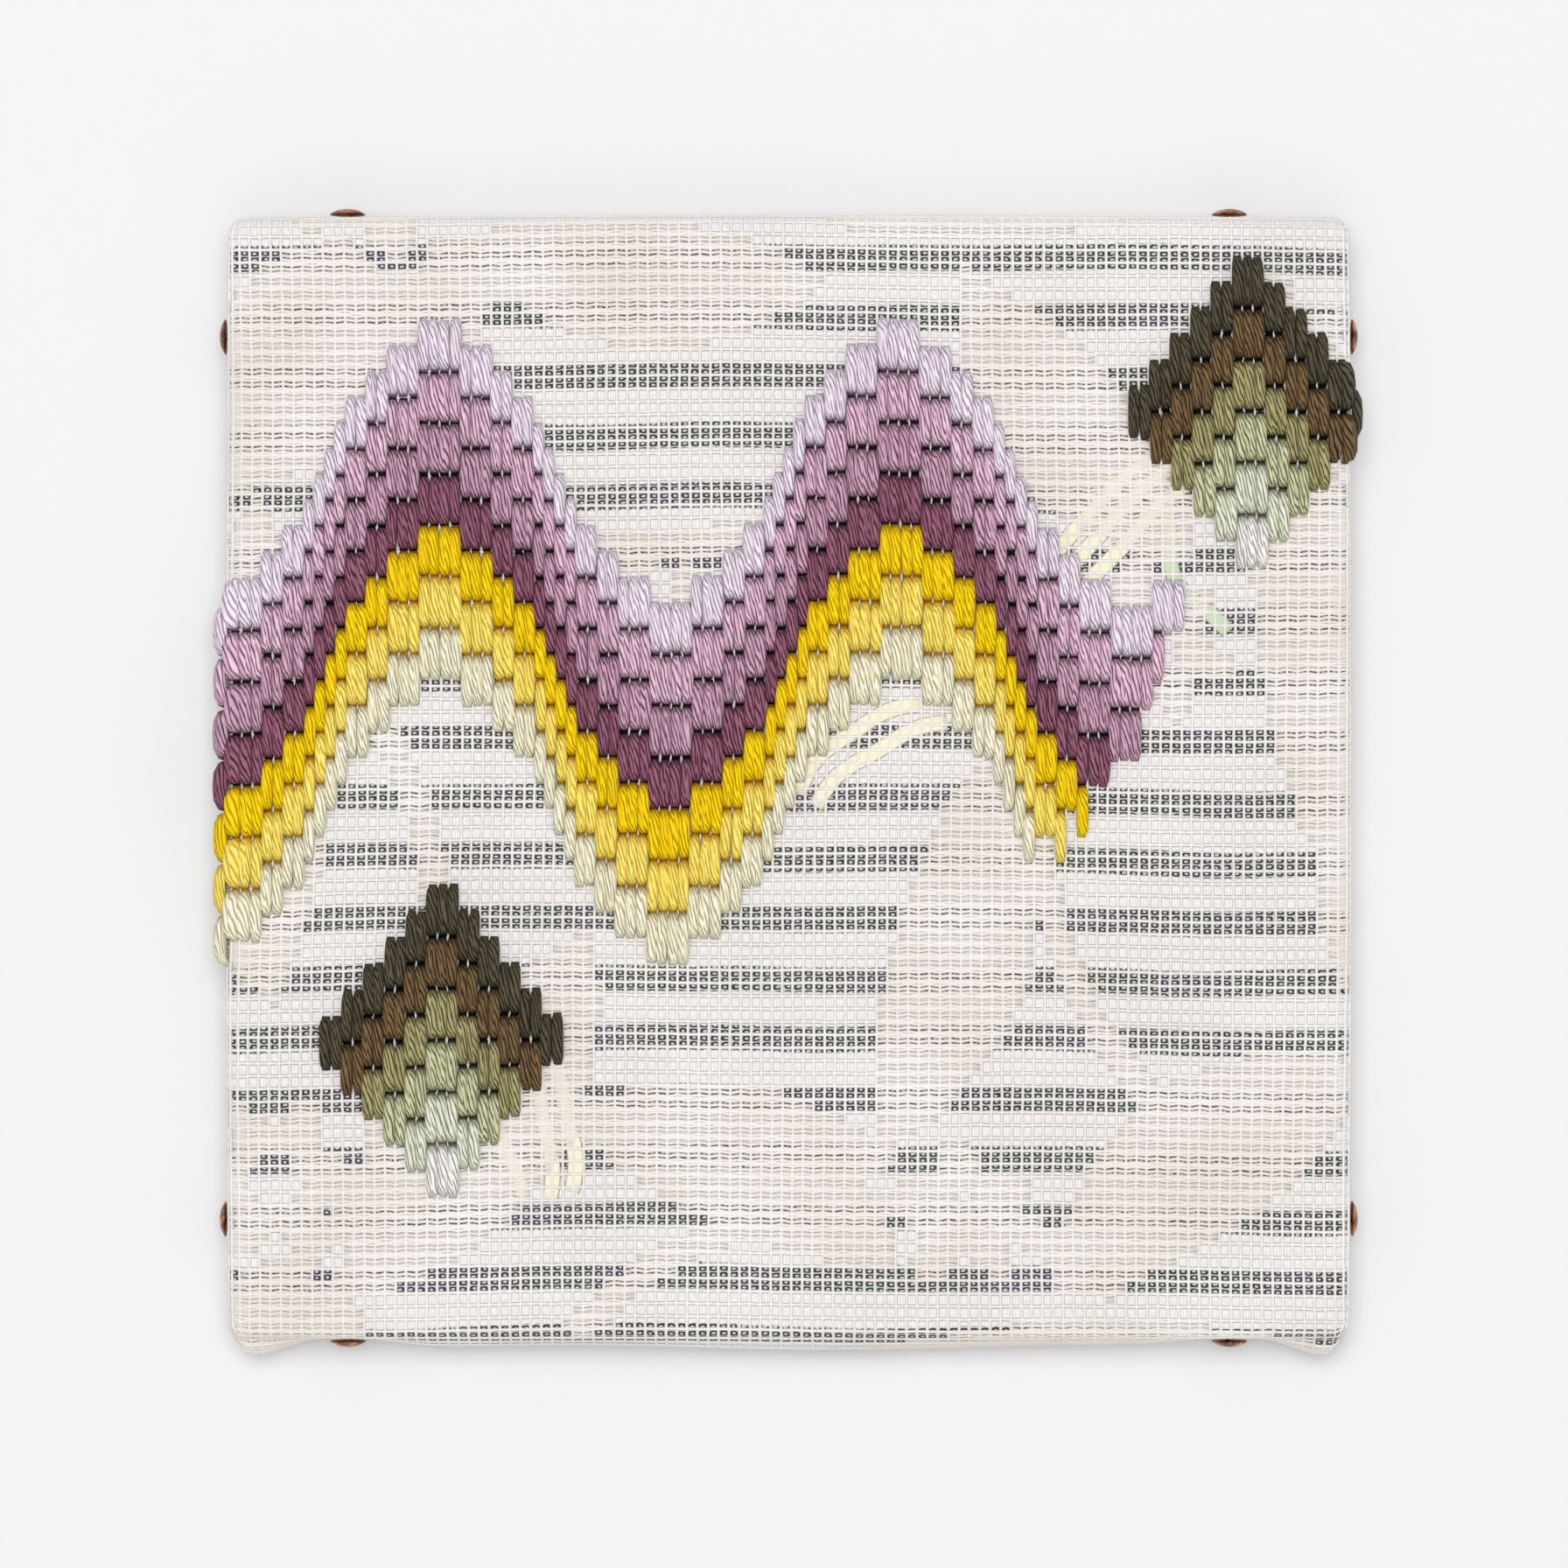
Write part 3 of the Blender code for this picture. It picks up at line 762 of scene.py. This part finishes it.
# A tack is a profile (depth along its axis, radius) turned about the axis, which points out
# of the panel's side. The dome's height falls with the square of the radius.
def makeTack(name, finish):
    low, high = (np.array(corner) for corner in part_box(name))
    middle = (low + high) / 2
    out = np.array([np.sign(middle[0] - centreX), 0, 0])
    if "top" in name or "bottom" in name:
        out = np.array([0, 0, np.sign(middle[2] - centreZ)])
    face = max(np.dot(low, out), np.dot(high, out)) - tack["headRise"]
    radius = tack["headRadius"]
    across = np.array([1, 0.975, 0.88, 0.72, 0.52, 0.28, 0.06])
    rise = tack["headRise"] * (0.12 + 0.88 * (1 - across ** 2) ** 0.8)
    dome = np.stack([rise, radius * across], 1)
    shank = [(-tack["length"], 0.00008), (-tack["length"] * 0.75, tack["shankRadius"] * 0.7),
             (-0.0002, tack["shankRadius"]), (0.0, tack["shankRadius"]), (0.0, radius * 0.9),
             (tack["headRise"] * 0.05, radius * 0.985)]
    profile = np.concatenate([shank, dome])
    angle = 2 * np.pi * np.arange(tack["sides"]) / tack["sides"]
    first = np.array([0.0, 1.0, 0.0])
    second = np.cross(out, first)
    wobble = 1 + 0.02 * np.sin(3 * angle + middle.sum() * 900)
    ring = np.cos(angle)[:, None] * first + np.sin(angle)[:, None] * second
    centre = middle * (1 - np.abs(out)) + out * face
    points = centre + profile[:, None, :1] * out + profile[:, None, 1:] * ring * wobble[:, None]
    index = np.arange(points[..., 0].size).reshape(1, *points.shape[:2])
    faces = [face[:, ::-1] for face in tubeFaces(index)]
    return makePiece(f"copper_{name}", points, faces, finish, [name])


def makeTacks():
    finish = copperFinish()
    for name in sorted(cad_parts):
        if name.startswith("tack_"):
            makeTack(name, finish)


# Pine bars: pale wood with growth lines along the bar, darker late wood and fine pores.
pine = {
    "early": tone(226, 194, 150),
    "late": tone(202, 160, 112),
    "pore": tone(150, 108, 68),
    "growth": 160,            # how close the growth lines lie, and how far they bend
    "bend": 14.0,
}


def pineFinish(name, upright):
    wood = Finish(name, Roughness=0.62)
    x, y, z = wood.split(wood.objectPlace())
    along, over = (z, x) if upright else (x, z)
    place = wood.join(along * 0.12, y, over)
    bend = wood.noise(place, 34.0, 2.0)
    growth = abs(((over * 5.2 + y * 3.1) * pine["growth"] + bend * pine["bend"]).sine())
    pores = wood.noise(wood.join(along * 0.03, y, over), 2600.0, 2.0, 0.6)
    colour = wood.blend(growth.rise(0.45, 0.98), pine["late"], pine["early"])
    colour = wood.blend(pores.rise(0.60, 0.74) * 0.5, colour, pine["pore"])
    return wood.close(colour, 0.52 + pores * 0.2, growth * 0.4 + pores * 0.6, 0.00010)


def finishBars():
    finishes = {True: pineFinish("pine_upright", True), False: pineFinish("pine_level", False)}
    for place in ("top", "left", "bottom", "right"):
        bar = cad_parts[f"stretcher_{place}"]
        for materialSlot in bar.material_slots:
            materialSlot.material = finishes[place in ("left", "right")]


# Stage, light and camera. The wall is see-through from behind and open where the panel
# covers it, so the back can be looked at.
studio = {
    "wallSide": 3.0,
    "wallGap": 0.0004,
    "openingHalf": 0.1280,
    "wall": tone(236, 236, 237),
    "floorDrop": 1.1,
    "floor": tone(226, 226, 225),
    "ambient": 0.50,
    "keyPower": 54.0,
    "keySide": 1.8,
    "keyPlace": (-0.06, -3.0, 0.36),
    "backPower": 12.0,
    "backSide": 0.8,
    "backPlace": (0.1, 1.5, 0.4),  # its height is measured from the panel's middle
    "cameraDistance": 1.4,
    "frameWidth": 0.3598,
    "aimSideways": -0.0011,
    "aimUp": -0.0014,
}


def stagePlane(name, corners, faces, colour, seeThroughBehind):
    mesh = bpy.data.meshes.new(name)
    mesh.from_pydata(corners, [], faces)
    plane = bpy.data.objects.new(name, mesh)
    bpy.context.scene.collection.objects.link(plane)
    paint = Finish(name, Roughness=0.9)
    grain = paint.noise(paint.objectPlace(), 700.0, 3.0)
    shade = tuple(channel * 0.985 for channel in colour[:3]) + (1.0,)
    material = paint.close(paint.blend(grain, shade, colour))
    if seeThroughBehind:
        behind = paint.node("NewGeometry", {}, {}, "Backfacing")
        clear = paint.node("BsdfTransparent", {}, {})
        front = Wire(paint, paint.shader.outputs["BSDF"])
        mixed = paint.node("MixShader", {}, {0: behind, 1: front, 2: clear})
        output = next(node for node in paint.tree.nodes if node.type == "OUTPUT_MATERIAL")
        paint.feed(output.inputs["Surface"], mixed)
    mesh.materials.append(material)


def areaLight(name, place, aim, power, side):
    data = bpy.data.lights.new(name, "AREA")
    data.shape = "DISK"
    data.size = side
    data.energy = power
    light = bpy.data.objects.new(name, data)
    light.location = place
    direction = np.array(aim) - np.array(place)
    yaw = np.arctan2(-direction[0], direction[1])
    pitch = np.arctan2(np.hypot(direction[0], direction[1]), -direction[2])
    light.rotation_euler = (pitch, 0, yaw)
    bpy.context.scene.collection.objects.link(light)


def makeStudio():
    half = studio["wallSide"] / 2
    wallY = studio["wallGap"]
    drop = centreZ - studio["floorDrop"]
    wall = [(-half, wallY, drop), (half, wallY, drop),
            (half, wallY, centreZ + half), (-half, wallY, centreZ + half)]
    gap = studio["openingHalf"]
    quarters = ((-1, -1), (1, -1), (1, 1), (-1, 1))
    wall += [(centreX + x * gap, wallY, centreZ + z * gap) for x, z in quarters]
    ring = [(0, 1, 5, 4), (1, 2, 6, 5), (2, 3, 7, 6), (3, 0, 4, 7)]
    floor = [(-half, wallY - 2 * half, drop), (half, wallY - 2 * half, drop),
             (half, wallY, drop), (-half, wallY, drop)]
    stagePlane("wall", wall, ring, studio["wall"], True)
    stagePlane("floor", floor, [(0, 1, 2, 3)], studio["floor"], False)
    middle = (centreX, 0, centreZ)
    areaLight("key_light", studio["keyPlace"], middle, studio["keyPower"], studio["keySide"])
    backX, backY, backUp = studio["backPlace"]
    areaLight("back_light", (backX, backY, centreZ + backUp), middle, studio["backPower"],
              studio["backSide"])
    world = bpy.data.worlds.new("studio")
    bpy.context.scene.world = world
    world.use_nodes = True
    sky = world.node_tree.nodes["Background"]
    sky.inputs["Color"].default_value = (1.0, 1.0, 1.0, 1.0)
    sky.inputs["Strength"].default_value = studio["ambient"]
    bpy.context.scene.view_settings.view_transform = "Standard"


def makeCamera():
    data = bpy.data.cameras.new("camera")
    data.sensor_width = 36.0
    data.lens = 36.0 * studio["cameraDistance"] / studio["frameWidth"]
    camera = bpy.data.objects.new("camera", data)
    front = lowest[1]
    camera.location = (centreX + studio["aimSideways"], front - studio["cameraDistance"],
                       centreZ + studio["aimUp"])
    camera.rotation_euler = (np.pi / 2, 0, 0)
    bpy.context.scene.collection.objects.link(camera)
    bpy.context.scene.camera = camera


print("ground cloth")
makeGround()
print("lace")
makeLace()
print("wool")
makeWool()
makeTrails()
print("tacks and bars")
makeTacks()
finishBars()
print("studio")
makeStudio()
makeCamera()
